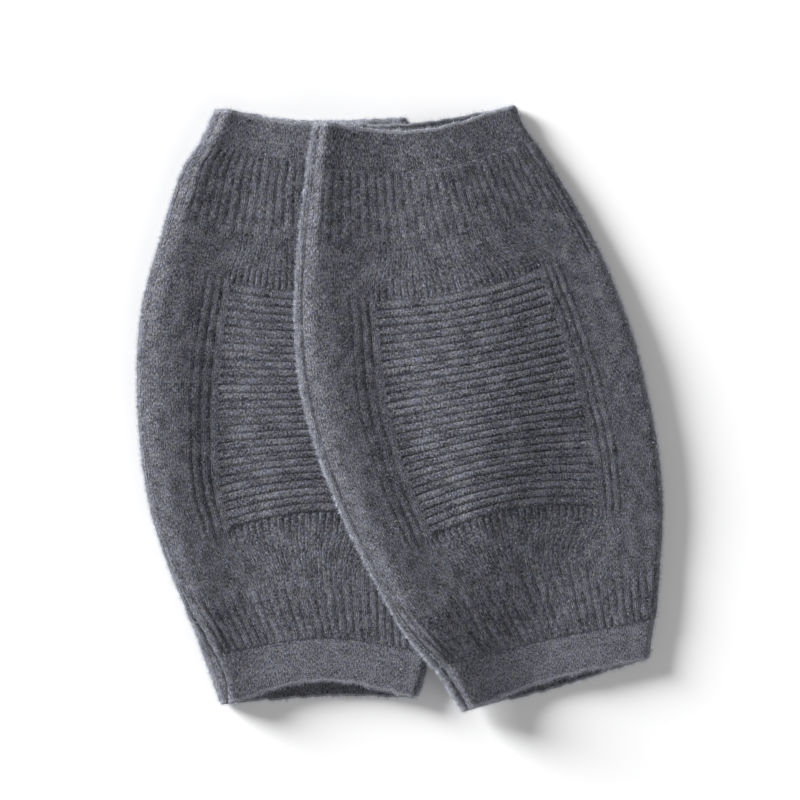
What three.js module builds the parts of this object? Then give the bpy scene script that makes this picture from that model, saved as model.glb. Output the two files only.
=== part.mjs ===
// A pair of knitted knee warmers laid flat, one lying over the right part of the other.
// All sizes are in millimetres. Each warmer is worked out in its own flat frame: "across" runs from its
// left side to its right, and "along" from its bottom edge to its top edge.
import * as THREE from "three";

const WALL = 2.8; // the knitted fabric, without its ribs
const FOLD = 4.5; // radius of the folded sides, so a warmer is two of these thick
const GAP = 0.3; // between two pieces at a seam
const RIB_RISE = 0.8;
const RIDGE_RISE = 0.9;
const SIDE_RIB_RISE = 0.6;
const HEM_ROUND = 0.9; // rounding of the bands' free edges

const RIBS = 31; // vertical ribs across a front panel, above and below the knee
const RIDGES = 29; // horizontal ridges of a knee panel
const SIDE_RIBS = 3; // vertical ribs on each side of a knee panel
const SIDE_RIB_PITCH = 0.054; // as a share of the warmer's half width
const FLAT_COLUMNS = 14; // of the plain fabric between two folds

// Soft form of a front panel, raised or sunk as a whole.
const KNEE_RISE = 0.5;
const SIDE_DIP = 2.2; // the trough along the side ribs

// The over warmer comes down from the under warmer to the floor between these distances beyond the under
// warmer's right side.
const SLOPE_START = -8;
const SLOPE_END = 62;
const CLEARANCE = 0.4; // between the over warmer and the highest of what it lies on

const QUARTER = (FOLD * Math.PI) / 2; // a quarter turn of the folded side
const UP = Math.PI / 2;

// corner: where the middle of the bottom edge lies, and the warmer's turn in degrees.
// zones: where the stitch pattern changes, as places along at the sides.
// outline: widths to the left and right, and how far inside the left side the left seam lies from above.
// rows: how a knitted row lies. It is raised by its tilt at the right side and lowered by it at the left, and
// its middle is lower than its ends by "front" on the front panel and by "back" on the back panel.
// knee: the sides of the knee panel, as shares of the warmer's half width.
// roll: how far the front swells beside its left and right folds.
const under = {
  name: "under",
  corner: { x: -43.1, y: -161.3, turn: 1.33 },
  roll: { left: 0.5, right: 0 },
  zones: {
    hem: -2.5,
    ribsStart: 23.2,
    ribsEnd: 51,
    kneeStart: 84.7,
    kneeEnd: 234.5,
    topRibs: 260,
    band: 300,
    top: 317.5,
  },
  outline: [
    { along: -3, left: 55, right: 52.5, seam: 4.2 },
    { along: 10, left: 59, right: 57, seam: 7.6 },
    { along: 23, left: 63.5, right: 60, seam: 7 },
    { along: 36, left: 67.3, right: 65, seam: 4.4 },
    { along: 50, left: 73, right: 71, seam: 2.4 },
    { along: 76, left: 82.8, right: 81.5, seam: 1.4 },
    { along: 102, left: 90.3, right: 89.5, seam: 1.8 },
    { along: 130, left: 94.6, right: 94, seam: 2.4 },
    { along: 164, left: 96.5, right: 96, seam: 2.6 },
    { along: 195, left: 95.3, right: 95, seam: 2.4 },
    { along: 220, left: 91.4, right: 91, seam: 2 },
    { along: 246, left: 83.5, right: 83.5, seam: 2 },
    { along: 272, left: 74.8, right: 74.8, seam: 2 },
    { along: 291, left: 67.4, right: 67, seam: 2 },
    { along: 300, left: 60.8, right: 60.5, seam: 2 },
    { along: 321, left: 50, right: 50.5, seam: 2 },
  ],
  rows: [
    { along: -2.5, tilt: 0.6, front: -10.3, back: -1.9 },
    { along: 23.2, tilt: 0, front: -8, back: -2.5 },
    { along: 51, tilt: 0.5, front: -12, back: -4 },
    { along: 84.7, tilt: 1.5, front: -16, back: -5 },
    { along: 160, tilt: 0, front: 0, back: 0 },
    { along: 234.5, tilt: -1, front: 14, back: 5 },
    { along: 260, tilt: -1, front: 12, back: 5 },
    { along: 300, tilt: -2.5, front: 8, back: 4 },
    { along: 317.5, tilt: -3.5, front: 4.8, back: 3.4 },
  ],
  knee: [
    { along: 84.7, left: -0.56, right: 0.56 },
    { along: 110, left: -0.585, right: 0.585 },
    { along: 142, left: -0.575, right: 0.575 },
    { along: 170, left: -0.557, right: 0.557 },
    { along: 200, left: -0.533, right: 0.533 },
    { along: 234.5, left: -0.506, right: 0.506 },
  ],
};

const over = {
  name: "over",
  corner: { x: 85.8, y: -154.5, turn: 14.04 },
  roll: { left: 0.5, right: 0.3 },
  zones: {
    hem: -0.5,
    ribsStart: 23.4,
    ribsEnd: 52,
    kneeStart: 84.6,
    kneeEnd: 228.3,
    topRibs: 259,
    band: 296.4,
    top: 319.5,
  },
  outline: [
    { along: -3, left: 54, right: 50.5, seam: 3.4 },
    { along: 8, left: 57.5, right: 54.5, seam: 4.7 },
    { along: 22, left: 62, right: 60.5, seam: 4 },
    { along: 43, left: 72, right: 68, seam: 2 },
    { along: 64, left: 79.3, right: 74.8, seam: 1.2 },
    { along: 89, left: 85.5, right: 81, seam: 1.4 },
    { along: 116, left: 91.3, right: 84.8, seam: 2 },
    { along: 142, left: 95, right: 86, seam: 2.4 },
    { along: 169, left: 97, right: 86, seam: 2.6 },
    { along: 197, left: 96, right: 83.7, seam: 2.4 },
    { along: 225, left: 91, right: 79, seam: 2 },
    { along: 254, left: 83, right: 71.6, seam: 2 },
    { along: 283, left: 72.5, right: 61.8, seam: 2 },
    { along: 300, left: 66, right: 55.8, seam: 2 },
    { along: 311, left: 62, right: 54.6, seam: 2 },
    { along: 328, left: 54.7, right: 54.4, seam: 2 },
  ],
  rows: [
    { along: -0.5, tilt: 1.5, front: -3, back: 1.9 },
    { along: 23.4, tilt: -2, front: -0.9, back: 0.5 },
    { along: 52, tilt: -4.5, front: -9, back: -3 },
    { along: 84.6, tilt: -6, front: -14, back: -5 },
    { along: 160, tilt: -5, front: 0, back: 0 },
    { along: 228.3, tilt: -4.8, front: 9, back: 4 },
    { along: 259, tilt: -5.5, front: 8.5, back: 4 },
    { along: 296.4, tilt: -6.5, front: 8, back: 4 },
    { along: 319.5, tilt: -8, front: 9, back: 4.6 },
  ],
  knee: [
    { along: 84.6, left: -0.57, right: 0.583 },
    { along: 124, left: -0.588, right: 0.602 },
    { along: 166, left: -0.58, right: 0.59 },
    { along: 206, left: -0.548, right: 0.576 },
    { along: 228.3, left: -0.536, right: 0.57 },
  ],
};

const lerp = THREE.MathUtils.lerp;
const bell = (x) => Math.exp(-x * x);
const bow = (u) => 1.6 * u * u - 0.6 * u ** 4;
const steps = (count) => Array.from({ length: count + 1 }, (_, i) => i / count);
const spread = (from, to, count) => steps(count).map((share) => lerp(from, to, share));

// A column of a table at any place along, on a smooth curve through its rows.
function read(table, name, along) {
  const last = table.length - 1;
  const at = THREE.MathUtils.clamp(along, table[0].along, table[last].along);
  const above = table.findIndex((row) => row.along > at);
  const i = above < 0 ? last - 1 : above - 1;
  const slope = (k) => {
    const before = table[Math.max(0, k - 1)];
    const after = table[Math.min(last, k + 1)];
    return (after[name] - before[name]) / (after.along - before.along);
  };
  const length = table[i + 1].along - table[i].along;
  const rise = table[i + 1][name] - table[i][name];
  const t = (at - table[i].along) / length;
  const start = slope(i) * length - rise;
  const end = rise - slope(i + 1) * length;
  return table[i][name] + rise * t + t * (1 - t) * (start * (1 - t) + end * t);
}

const flatHalf = (warmer, along) =>
  (read(warmer.outline, "left", along) + read(warmer.outline, "right", along)) / 2 - FOLD;
const girth = (warmer, along) => 4 * QUARTER + 4 * flatHalf(warmer, along);

// The length of fabric from the fold's outermost line to a line that lies "inset" inside it, from above.
function overFold(inset) {
  if (inset > FOLD) return QUARTER + inset - FOLD;
  return FOLD * Math.acos((FOLD - inset) / FOLD);
}

// A place round the tube, by its distance from the left side's outermost line, over the top and back
// underneath. "u" runs from -1 to 1 between the middles of the two folds, and the surface faces "angle".
function spotAt(warmer, along, distance) {
  const half = flatHalf(warmer, along);
  const round = girth(warmer, along);
  const d = ((distance % round) + round) % round;
  if (d < QUARTER) return { u: -1, angle: Math.PI - d / FOLD };
  if (d < QUARTER + 2 * half) return { u: (d - QUARTER) / half - 1, angle: UP };
  if (d < 3 * QUARTER + 2 * half) return { u: 1, angle: UP - (d - QUARTER - 2 * half) / FOLD };
  if (d < 3 * QUARTER + 4 * half) return { u: 1 - (d - 3 * QUARTER - 2 * half) / half, angle: -UP };
  return { u: -1, angle: -UP - (d - 3 * QUARTER - 4 * half) / FOLD };
}

const distanceOf = (warmer, along, u) => QUARTER + (u + 1) * flatHalf(warmer, along);
const leftSeam = (warmer, along) => overFold(read(warmer.outline, "seam", along));
const rightSeam = (warmer, along) => girth(warmer, along) / 2 + leftSeam(warmer, along);

function softForm(warmer, u, along) {
  const { kneeStart, kneeEnd } = warmer.zones;
  const level = bell((along - (kneeStart + kneeEnd) / 2) / (0.55 * (kneeEnd - kneeStart)));
  const left = read(warmer.knee, "left", along);
  const right = read(warmer.knee, "right", along);
  const beyond = Math.max(left - u, u - right);
  const knee = KNEE_RISE * bell((u - (left + right) / 2) / 0.42);
  const roll = (u < 0 ? warmer.roll.left : warmer.roll.right) * bell((Math.abs(u) - 0.9) / 0.11);
  return roll + level * (knee - SIDE_DIP * bell((beyond - 0.04) / 0.12));
}

function toWorld(warmer, across, along) {
  const { x, y, turn } = warmer.corner;
  const angle = THREE.MathUtils.degToRad(turn);
  return {
    x: x + across * Math.cos(angle) - along * Math.sin(angle),
    y: y + across * Math.sin(angle) + along * Math.cos(angle),
  };
}

// How far a place lies to the right of the under warmer's right side.
function beyondUnder(place) {
  const { x, y, turn } = under.corner;
  const angle = THREE.MathUtils.degToRad(turn);
  const across = (place.x - x) * Math.cos(angle) + (place.y - y) * Math.sin(angle);
  const along = (place.y - y) * Math.cos(angle) - (place.x - x) * Math.sin(angle);
  return across - read(under.outline, "right", along);
}

// The height of what the warmer lies on: the floor, or for the over warmer the top of the under one.
function supportHeight(warmer, place) {
  if (warmer !== over) return 0;
  const top = 2 * FOLD + KNEE_RISE + RIDGE_RISE + CLEARANCE;
  return top * (1 - THREE.MathUtils.smoothstep(beyondUnder(place), SLOPE_START, SLOPE_END));
}

// A point of the fabric, "raise" above its plain outer surface, or below it where that is negative. What is
// raised fades out underneath, where the fabric rests.
function pointAt(warmer, along, distance, raise) {
  const { u, angle } = spotAt(warmer, along, distance);
  const facing = Math.sin(angle);
  const sag = read(warmer.rows, facing > 0 ? "front" : "back", along);
  const height = along + read(warmer.rows, "tilt", along) * u - sag * (1 - bow(u));
  const left = read(warmer.outline, "left", height);
  const right = read(warmer.outline, "right", height);
  const radius = FOLD + (raise > 0 ? raise * Math.min(1, 1 + facing) : raise);
  const spine = ((left + right) / 2 - FOLD) * u + ((right - left) / 2) * u * u;
  const place = toWorld(warmer, spine + Math.cos(angle) * radius, height);
  const lift = facing * radius + Math.max(0, facing) * softForm(warmer, u, along);
  return new THREE.Vector3(place.x, place.y, supportHeight(warmer, place) + FOLD + lift);
}

// Triangles between two lines of points, which may differ in number: each one takes the shorter way across.
// They face the viewer where both lines run to the right and the second is above the first.
function zip(triangles, first, second) {
  let i = 0;
  let j = 0;
  while (i < first.length - 1 || j < second.length - 1) {
    const firstEnded = i === first.length - 1;
    const secondEnded = j === second.length - 1;
    const across = (a, b) => first[a].distanceTo(second[b]);
    if (secondEnded || (!firstEnded && across(i + 1, j) <= across(i, j + 1))) {
      triangles.push(first[i], first[i + 1], second[j]);
      i += 1;
    } else {
      triangles.push(first[i], second[j + 1], second[j]);
      j += 1;
    }
  }
}

function zipAll(triangles, lines) {
  lines.slice(1).forEach((line, i) => zip(triangles, lines[i], line));
}

function solid(name, triangles) {
  const geometry = new THREE.BufferGeometry().setFromPoints(triangles);
  geometry.computeVertexNormals();
  const material = new THREE.MeshStandardMaterial({ color: 0x56575d, roughness: 0.95, metalness: 0 });
  const mesh = new THREE.Mesh(geometry, material);
  mesh.name = name;
  return mesh;
}

// Shares of the way from the left seam inwards, close together where the fabric turns over the fold.
const LEFT_SHARES = [0, 0.1, 0.25, 0.42, 0.7];
// The share of a right flank's lines that lie on its fold.
const TURNED = 0.7;

// Rows of a plain panel, each a list of distances round the tube.
const frontStart = (warmer, along) => leftSeam(warmer, along) + GAP / 2;
const frontEnd = (warmer, along) => rightSeam(warmer, along) - GAP / 2;

function plainFront(warmer, along) {
  const start = frontStart(warmer, along);
  const left = distanceOf(warmer, along, -0.8);
  const right = distanceOf(warmer, along, 1);
  return [
    ...LEFT_SHARES.map((share) => lerp(start, left, share)),
    ...spread(left, right, FLAT_COLUMNS),
    ...spread(right, frontEnd(warmer, along), 7).slice(1),
  ];
}

function plainBack(warmer, along) {
  const start = rightSeam(warmer, along) + GAP / 2;
  const fold = girth(warmer, along) - QUARTER;
  const end = girth(warmer, along) + leftSeam(warmer, along) - GAP / 2;
  return { flat: spread(start, fold, FLAT_COLUMNS), turned: spread(fold, end, 9).slice(1) };
}

function line(warmer, along, distances, raise) {
  return distances.map((distance, i) => pointAt(warmer, along, distance, raise(i)));
}

// Ribs or ridges of three points each: a groove, then two at the full height.
const grooved = (height) => (i) => (i % 3 === 0 ? 0 : height);

function ribbedRow(warmer, along, rise) {
  const distances = spread(frontStart(warmer, along), frontEnd(warmer, along), 3 * RIBS);
  return line(warmer, along, distances, grooved(rise));
}

// Lines that run up beside the knee panel, from the warmer's side inwards: the plain fabric, then the ribs.
function flankLines(warmer, side, rows) {
  const { kneeStart, kneeEnd } = warmer.zones;
  const ribLines = steps(3 * SIDE_RIBS).slice(0, -1);
  const panelEdge = (along) => read(warmer.knee, side < 0 ? "left" : "right", along);
  const ribsEdge = (along) => panelEdge(along) + side * SIDE_RIBS * SIDE_RIB_PITCH;
  const outside = (along, share) => {
    const edge = distanceOf(warmer, along, ribsEdge(along));
    if (side < 0) return lerp(frontStart(warmer, along), edge, share);
    const turn = distanceOf(warmer, along, 1);
    const end = frontEnd(warmer, along);
    if (share < TURNED) return lerp(end, turn, share / TURNED);
    return lerp(turn, edge, (share - TURNED) / (1 - TURNED));
  };
  const shares = side < 0 ? LEFT_SHARES : [...spread(0, TURNED, 7), 0.8, 0.9];
  const lineUp = (share) => rows.map((along) => pointAt(warmer, along, outside(along, share), 0));
  const plain = shares.map(lineUp);
  const ribbed = ribLines.map((share, i) =>
    rows.map((along) => {
      const faded = along === kneeStart || along === kneeEnd ? 0 : SIDE_RIB_RISE;
      const u = lerp(ribsEdge(along), panelEdge(along), share);
      return pointAt(warmer, along, distanceOf(warmer, along, u), grooved(faded)(i));
    }),
  );
  return [...plain, ...ribbed];
}

function kneeRows(warmer) {
  const { kneeStart, kneeEnd } = warmer.zones;
  const columns = steps(6);
  return spread(kneeStart, kneeEnd, 3 * RIDGES).map((along, i) => {
    const left = read(warmer.knee, "left", along);
    const right = read(warmer.knee, "right", along);
    return columns.map((share) => {
      const atEdge = share === 0 || share === 1;
      const u = lerp(left, right, share);
      return pointAt(warmer, along, distanceOf(warmer, along, u), atEdge ? 0 : grooved(RIDGE_RISE)(i));
    });
  });
}

// The heights of a body's rows, shared by the front and back panels so that their seams fit.
function bodyRows(warmer) {
  const { ribsStart, ribsEnd, kneeStart, kneeEnd, topRibs, band } = warmer.zones;
  return {
    lowRibs: spread(ribsStart + GAP / 2, ribsEnd, 5),
    lowPlain: spread(ribsEnd, kneeStart, 3),
    knee: spread(kneeStart, kneeEnd, 12),
    highPlain: spread(kneeEnd, topRibs, 2),
    highRibs: spread(topRibs, band - GAP / 2, 5),
  };
}

const heightsOf = (rows) => [...new Set(Object.values(rows).flat())];
// The plain inside needs only every second row.
const innerHeights = (rows) => heightsOf(rows).filter((_, i, all) => i % 2 === 0 || i === all.length - 1);
const column = (lines, pick) => lines.map((points) => points.at(pick));

function frontPanel(warmer) {
  const rows = bodyRows(warmer);
  const triangles = [];
  const plainRow = (along, depth) => line(warmer, along, plainFront(warmer, along), () => depth);

  const leftLines = flankLines(warmer, -1, rows.knee);
  const rightLines = flankLines(warmer, 1, rows.knee);
  const knee = kneeRows(warmer);
  const kneeEdgeRow = (pick) => [
    ...column(leftLines, pick),
    ...knee.at(pick),
    ...column(rightLines, pick).reverse(),
  ];

  const low = [
    ...rows.lowRibs.slice(0, -1).map((along) => ribbedRow(warmer, along, RIB_RISE)),
    ribbedRow(warmer, rows.lowRibs.at(-1), 0),
    ...rows.lowPlain.slice(1, -1).map((along) => plainRow(along, 0)),
    kneeEdgeRow(0),
  ];
  const high = [
    kneeEdgeRow(-1),
    ...rows.highPlain.slice(1, -1).map((along) => plainRow(along, 0)),
    ribbedRow(warmer, rows.highRibs[0], 0),
    ...rows.highRibs.slice(1).map((along) => ribbedRow(warmer, along, RIB_RISE)),
  ];
  zipAll(triangles, low);
  zipAll(triangles, knee);
  zipAll(triangles, high);
  zipAll(triangles, [column(knee, 0), ...leftLines.toReversed()]);
  zipAll(triangles, [...rightLines, column(knee, -1)]);

  const inner = innerHeights(rows).map((along) => plainRow(along, -WALL));
  zipAll(triangles, inner.toReversed());
  const outerLeft = [...column(low, 0).slice(0, -1), ...leftLines[0], ...column(high, 0).slice(1)];
  const outerRight = [...column(low, -1).slice(0, -1), ...rightLines[0], ...column(high, -1).slice(1)];
  zip(triangles, outerLeft, column(inner, 0));
  zip(triangles, column(inner, -1), outerRight);
  zip(triangles, high.at(-1), inner.at(-1));
  zip(triangles, inner[0], low[0]);
  return solid(`${warmer.name}_front`, triangles);
}

function backPanel(warmer) {
  const rows = bodyRows(warmer);
  const triangles = [];
  const ribbed = new Set([...rows.lowRibs.slice(0, -1), ...rows.highRibs.slice(1)]);
  const panelRow = (along, raise) => {
    const { flat, turned } = plainBack(warmer, along);
    return line(warmer, along, [...flat, ...turned], (i) => raise(i - flat.length + 1));
  };
  const rise = (along) => (i) => (ribbed.has(along) && i > 0 ? grooved(RIB_RISE)(i) : 0);
  const outer = heightsOf(rows).map((along) => panelRow(along, rise(along)));
  const inner = innerHeights(rows).map((along) => panelRow(along, () => -WALL));
  zipAll(triangles, outer);
  zipAll(triangles, inner.toReversed());
  zip(triangles, column(outer, 0), column(inner, 0));
  zip(triangles, column(inner, -1), column(outer, -1));
  zip(triangles, outer.at(-1), inner.at(-1));
  zip(triangles, inner[0], outer[0]);
  return solid(`${warmer.name}_back`, triangles);
}

// A closed ring of fabric round one opening, from its seam to its rounded free edge and back inside.
function bandRing(warmer, name, seam, edge) {
  const way = Math.sign(edge - seam);
  const start = seam + (way * GAP) / 2;
  const profile = [
    { along: start, raise: 0 },
    { along: lerp(start, edge, 0.5), raise: 0 },
    { along: edge - way * HEM_ROUND, raise: 0 },
    { along: edge, raise: -HEM_ROUND },
    { along: edge, raise: HEM_ROUND - WALL },
    { along: edge - way * HEM_ROUND, raise: -WALL },
    { along: start, raise: -WALL },
  ];
  const loops = profile.map(({ along, raise }) => {
    const half = 2 * flatHalf(warmer, along);
    const distances = [
      ...spread(0, 2 * QUARTER, 6).map((d) => d - QUARTER),
      ...spread(QUARTER, QUARTER + half, FLAT_COLUMNS).slice(1),
      ...spread(QUARTER + half, 3 * QUARTER + half, 6).slice(1),
      ...spread(3 * QUARTER + half, 3 * QUARTER + 2 * half, FLAT_COLUMNS).slice(1, -1),
    ];
    const points = line(warmer, along, distances, () => raise);
    return [...points, points[0]];
  });
  const closed = [...loops, loops[0]];
  const triangles = [];
  zipAll(triangles, way > 0 ? closed : closed.toReversed());
  return solid(name, triangles);
}

function buildWarmer(warmer) {
  const { hem, ribsStart, band, top } = warmer.zones;
  return [
    frontPanel(warmer),
    backPanel(warmer),
    bandRing(warmer, `${warmer.name}_top_band`, band, top),
    bandRing(warmer, `${warmer.name}_bottom_band`, ribsStart, hem),
  ];
}

// The group stands on z = 0, with the middle of its box above the origin.
const group = new THREE.Group();
group.name = "knee_warmers";
group.add(...buildWarmer(under), ...buildWarmer(over));
const box = new THREE.Box3().setFromObject(group);
const middle = box.getCenter(new THREE.Vector3());
group.children.forEach((mesh) => mesh.geometry.translate(-middle.x, -middle.y, -box.min.z));

export default group;
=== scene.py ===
"""A pair of knitted knee warmers laid flat, one over the right part of the other.

Each warmer is a tube of wool knit pressed flat: a front panel, a back panel that shows at the left fold and
underneath, and a band round each opening. Every piece is a closed wall worked out in millimetres in the
warmer's own flat frame, in the same way as its CAD solid, with the ribs, ridges and seams in finer steps.
"across" runs from a warmer's left side to its right and "along" from its bottom edge to its top edge.
"""

import math

import bpy
import numpy as np
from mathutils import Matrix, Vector


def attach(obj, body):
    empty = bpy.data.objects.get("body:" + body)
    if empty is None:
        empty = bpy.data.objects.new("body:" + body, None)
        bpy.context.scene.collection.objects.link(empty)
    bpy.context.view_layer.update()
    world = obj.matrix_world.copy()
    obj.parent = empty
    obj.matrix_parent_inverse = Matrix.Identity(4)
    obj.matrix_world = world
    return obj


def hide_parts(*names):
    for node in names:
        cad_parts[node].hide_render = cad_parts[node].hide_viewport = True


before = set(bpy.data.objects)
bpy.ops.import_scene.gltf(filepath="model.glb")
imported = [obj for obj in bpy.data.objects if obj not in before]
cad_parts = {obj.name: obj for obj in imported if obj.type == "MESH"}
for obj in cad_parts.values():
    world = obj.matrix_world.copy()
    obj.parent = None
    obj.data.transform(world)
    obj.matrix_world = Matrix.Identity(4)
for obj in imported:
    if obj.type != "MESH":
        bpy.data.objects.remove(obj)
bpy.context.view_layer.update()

MM = 0.001
# Where the middle of the pair's box lies in the millimetres of the tables below.
MIDDLE = (-0.2357, -4.3416)

# ---- sizes

WALL = 2.8  # the knitted fabric, without its ribs
FOLD = 4.5  # radius of the folded sides
QUARTER = FOLD * math.pi / 2  # a quarter turn of the folded side
UP = math.pi / 2

RIBS = 31  # vertical ribs across a front panel, above and below the knee
RIDGES = 29  # horizontal ridges of a knee panel
SIDE_RIBS = 3  # vertical ribs on each side of a knee panel
SIDE_RIB_PITCH = 0.054  # as a share of the warmer's half width

RISE = 0.45  # of the ribs, ridges and side ribs above the plain fabric
# How deep a groove is between two ribs, ridges, side ribs or wales of the plain fabric, and along a fold.
RIB_GROOVE = 0.7
RIDGE_GROOVE = 0.7
SIDE_GROOVE = 0.75
WALE_GROOVE = 0.36
FOLD_GROOVE = 1.1
FOLD_GROOVE_WIDTH = 0.9
WANDER = 0.28  # of the knitted rows and wales

# The over warmer comes down from the under warmer to the floor between these distances beyond the under
# warmer's right side.
SLOPE_START = -8
SLOPE_END = 62
CLEARANCE = 0.4  # between the over warmer and the highest of what it lies on
KNEE_RISE = 1.4  # of the under warmer's knee above its two folds
KNEE_REACH = 0.62  # how far the knee's swelling reaches, as a share of the knee panel's length

SEAM_WIDTH = 3.4  # how far from a side seam the fabric starts to turn down
SEAM_DEPTH = 1.5  # how far down it is turned at the seam
JOIN = 0.03  # between two pieces that meet on a smooth seam
HEM_ROUND = WALL / 2  # radius of the bands' free edges

# Where the chance patterns that both warmers share start from.
BACK_SEED = 61
BAND_SEED = 71
SEAM_SEED = 81
FOLD_SEED = 82


def table(names, *rows):
    """Columns of numbers by name, from their rows."""
    return {name: np.array(column, float) for name, column in zip(names.split(), zip(*rows))}


# corner and turn: where the middle of the bottom edge lies, and the warmer's turn in degrees.
# seeds: where the warmer's own chance patterns start from.
# zones: where the stitch pattern changes, as places along at the sides.
# fold_lines: grooves along the folds, each from start to end. How far away a groove is counts from the left
# seam where right is 0, and from the middle of the right fold where it is 1. Depth is a share of FOLD_GROOVE.
# outline: widths to the left and right, and how far inside the left side the left seam lies from above.
# rows: how a knitted row lies. It is raised by its tilt at the right side and lowered by it at the left, and
# its middle is lower than its ends by "front" on the front panel and by "back" on the back panel.
# knee: the sides of the knee panel, as shares of the warmer's half width.
# swell: how far the front swells or sinks, from the left fold at -1 to the right one at 1, halfway along the
# knee panel and at both ends of the warmer.
UNDER = {
    "name": "under",
    "corner": (-43.1, -161.3),
    "turn": 1.33,
    "seeds": {"ribs": 11, "front": 21, "wander": 41, "fuzz": 5},
    "zones": {
        "hem": -2.5,
        "ribs_start": 23.2,
        "ribs_end": 51,
        "knee_start": 84.7,
        "knee_end": 234.5,
        "top_ribs": 260,
        "band": 300,
        "top": 317.5,
    },
    "fold_lines": table(
        "right away start end depth",
        (0, 5.4, 24, 75, 0.65),
        (0, 9.4, 24, 62, 0.5),
    ),
    "outline": table(
        "along left right seam",
        (-3, 55, 52.5, 4.2),
        (10, 59, 57, 7.6),
        (23, 63.5, 60, 7),
        (36, 67.3, 65, 4.4),
        (50, 73, 71, 2.4),
        (76, 82.8, 81.5, 1.4),
        (102, 90.3, 89.5, 1.8),
        (130, 94.6, 94, 2.4),
        (164, 96.5, 96, 2.6),
        (195, 95.3, 95, 2.4),
        (220, 91.4, 91, 2),
        (246, 83.5, 83.5, 2),
        (272, 74.8, 74.8, 2),
        (291, 67.4, 67, 2),
        (300, 60.8, 60.5, 2),
        (321, 50, 50.5, 2),
    ),
    "rows": table(
        "along tilt front back",
        (-2.5, 0.6, -10.3, -1.9),
        (23.2, 0, -8, -2.5),
        (51, 0.5, -12, -4),
        (84.7, 1.5, -16, -5),
        (160, 0, 0, 0),
        (234.5, -1, 14, 5),
        (260, -1, 12, 5),
        (300, -2.5, 8, 4),
        (317.5, -3.5, 4.8, 3.4),
    ),
    "knee": table(
        "along left right",
        (84.7, -0.56, 0.56),
        (110, -0.585, 0.585),
        (142, -0.575, 0.575),
        (170, -0.557, 0.557),
        (200, -0.533, 0.533),
        (234.5, -0.506, 0.506),
    ),
    "swell": table(
        "across knee ends",
        (-1, 1.7, 1),
        (-0.97, 2.7, 2),
        (-0.94, 3.4, 2.7),
        (-0.91, 3.9, 2.9),
        (-0.88, 4, 2.7),
        (-0.84, 3.8, 2.1),
        (-0.8, 3.4, 1.6),
        (-0.76, 2.6, 1.2),
        (-0.68, 0.5, 0.7),
        (-0.6, -1.1, 0.4),
        (-0.52, -1.7, 0.2),
        (-0.44, -1.2, 0.2),
        (-0.35, 0, 0.3),
        (-0.2, 0.9, 0.4),
        (0, 1, 0.4),
        (0.5, -0.5, 0.2),
        (0.7, -0.5, 0.1),
        (1, 0, 0),
    ),
}

OVER = {
    "name": "over",
    "corner": (85.8, -154.5),
    "turn": 14.04,
    "seeds": {"ribs": 12, "front": 31, "wander": 51, "fuzz": 6},
    "zones": {
        "hem": -0.5,
        "ribs_start": 23.4,
        "ribs_end": 52,
        "knee_start": 84.6,
        "knee_end": 228.3,
        "top_ribs": 259,
        "band": 296.4,
        "top": 319.5,
    },
    "fold_lines": table(
        "right away start end depth",
        (0, 2.2, 24, 70, 0.55),
        (0, 2.2, 24, 320, 0.45),
        (0, 6, 24, 70, 0.9),
        (0, 9.5, 24, 62, 0.5),
        (1, 5, 232, 290, 0.5),
        (1, 8.1, 226, 292, 0.6),
        (1, 10.8, 240, 294, 0.5),
    ),
    "outline": table(
        "along left right seam",
        (-3, 54, 50.5, 3.4),
        (8, 57.5, 54.5, 4.7),
        (22, 62, 60.5, 4),
        (43, 72, 68, 2),
        (64, 79.3, 74.8, 1.2),
        (89, 85.5, 81, 1.4),
        (116, 91.3, 84.8, 2),
        (142, 95, 86, 2.4),
        (169, 97, 86, 2.6),
        (197, 96, 83.7, 2.4),
        (225, 91, 79, 2),
        (254, 83, 71.6, 2),
        (283, 72.5, 61.8, 2),
        (300, 66, 55.8, 2),
        (311, 62, 54.6, 2),
        (328, 54.7, 54.4, 2),
    ),
    "rows": table(
        "along tilt front back",
        (-0.5, 1.5, -3, 1.9),
        (23.4, -2, -0.9, 0.5),
        (52, -4.5, -9, -3),
        (84.6, -6, -14, -5),
        (160, -5, 0, 0),
        (228.3, -4.8, 9, 4),
        (259, -5.5, 8.5, 4),
        (296.4, -6.5, 8, 4),
        (319.5, -8, 9, 4.6),
    ),
    "knee": table(
        "along left right",
        (84.6, -0.57, 0.583),
        (124, -0.588, 0.602),
        (166, -0.58, 0.59),
        (206, -0.548, 0.576),
        (228.3, -0.536, 0.57),
    ),
    "swell": table(
        "across knee ends",
        (-1, 1.5, 1),
        (-0.97, 2.7, 2.4),
        (-0.94, 3.8, 3.6),
        (-0.91, 4.5, 3.9),
        (-0.88, 4.8, 3.6),
        (-0.84, 4.6, 2.9),
        (-0.8, 3.9, 2.2),
        (-0.76, 2.9, 1.5),
        (-0.68, 0.5, 0.7),
        (-0.6, -1.1, 0.1),
        (-0.52, -1.7, -0.5),
        (-0.44, -1.1, -1.1),
        (-0.35, 0.5, -1.6),
        (-0.25, 2, -1.8),
        (-0.1, 2.8, -1.6),
        (0.1, 3, -0.8),
        (0.3, 3.7, -0.4),
        (0.5, 4.3, -0.5),
        (0.7, 4.4, -0.8),
        (0.85, 3.6, -1),
        (1, 1.8, -1.2),
    ),
}


# ---- the flat form


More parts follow.
